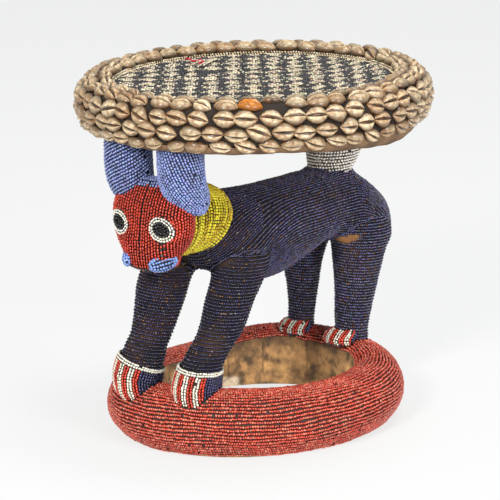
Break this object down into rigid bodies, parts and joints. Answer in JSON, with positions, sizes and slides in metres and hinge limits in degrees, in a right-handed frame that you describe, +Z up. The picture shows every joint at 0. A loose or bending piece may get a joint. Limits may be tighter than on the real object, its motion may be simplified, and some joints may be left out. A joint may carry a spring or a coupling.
{
  "type": "bead-covered carved leopard stool",
  "caption": "Round wooden stool whose cowrie-rimmed seat stands on a bead-covered leopard with its paws on a beaded ring foot; it stands on the floor and carries a sitter or a display.",
  "frame": {"origin": "on the floor, under the middle of the bounding box", "axes": "+Z up, the leopard's head towards -Y, its left side +X"},
  "size_m": [0.3524, 0.37, 0.3587],
  "materials": {
    "carved_wood": "rough adzed wood",
    "navy_beads": "glass seed beads on dark cloth",
    "ivory_beads": "glass seed beads on dark cloth",
    "yellow_beads": "glass seed beads on dark cloth",
    "blue_beads": "glass seed beads on dark cloth",
    "red_beads": "glass seed beads on dark cloth",
    "dark_beads": "black and ivory glass seed beads",
    "pale_blue_beads": "glass seed beads",
    "paw_beads": "red and ivory striped glass seed beads",
    "brick_beads": "glass seed beads on dark cloth",
    "check_beads": "black and ivory glass seed beads in zigzags",
    "brown_cloth": "coarse cloth",
    "cowrie_shell": "polished shell"
  },
  "bodies": {
    "root": {"carved_wooden_stool": "carved_wood", "beaded_body": "navy_beads", "beaded_tail": "ivory_beads", "beaded_collar": "yellow_beads", "beaded_left_ear": "blue_beads", "beaded_right_ear": "blue_beads", "beaded_face": "red_beads", "beaded_left_eye": "dark_beads", "beaded_left_lip": "pale_blue_beads", "beaded_right_eye": "dark_beads", "beaded_right_lip": "pale_blue_beads", "beaded_front_left_paw": "paw_beads", "beaded_front_right_paw": "paw_beads", "beaded_hind_left_paw": "paw_beads", "beaded_hind_right_paw": "paw_beads", "beaded_ring": "brick_beads", "beaded_seat_panel": "check_beads", "seat_edge_cloth_band": "brown_cloth", "cowrie_row_1": "cowrie_shell", "cowrie_row_2": "cowrie_shell", "cowrie_row_3": "cowrie_shell", "cowrie_row_4": "cowrie_shell", "cowrie_row_5": "cowrie_shell"}
  },
  "joints": []
}
